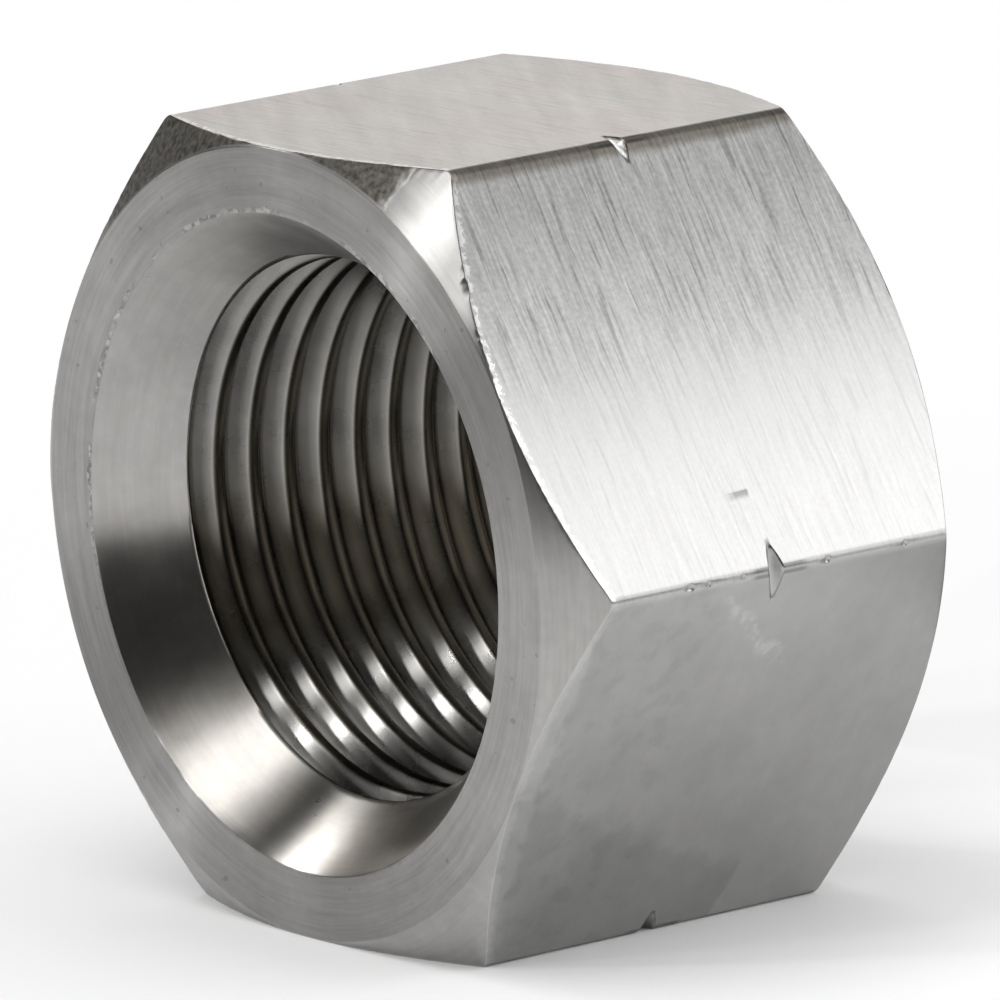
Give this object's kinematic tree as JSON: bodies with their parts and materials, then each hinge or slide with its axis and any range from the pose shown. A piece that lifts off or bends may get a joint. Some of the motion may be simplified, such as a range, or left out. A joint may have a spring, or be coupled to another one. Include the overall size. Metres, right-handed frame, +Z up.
{
  "type": "lock nut",
  "caption": "Hexagonal lock nut with a left-hand fine thread, one wide countersunk face, chamfered ends and a marking notch in the middle of each corner edge.",
  "frame": {"origin": "on the thread axis at half the nut's height", "axes": "+Z up, square to the flat that the nut lies on; Y along the thread axis, with the wide countersink towards -Y; X across two opposite corner edges"},
  "size_m": [0.031, 0.017, 0.027],
  "materials": {
    "steel": "bare bright steel, drawn flats with fine scratches and turned end faces"
  },
  "bodies": {
    "root": {"nut_body": "steel"}
  },
  "joints": []
}
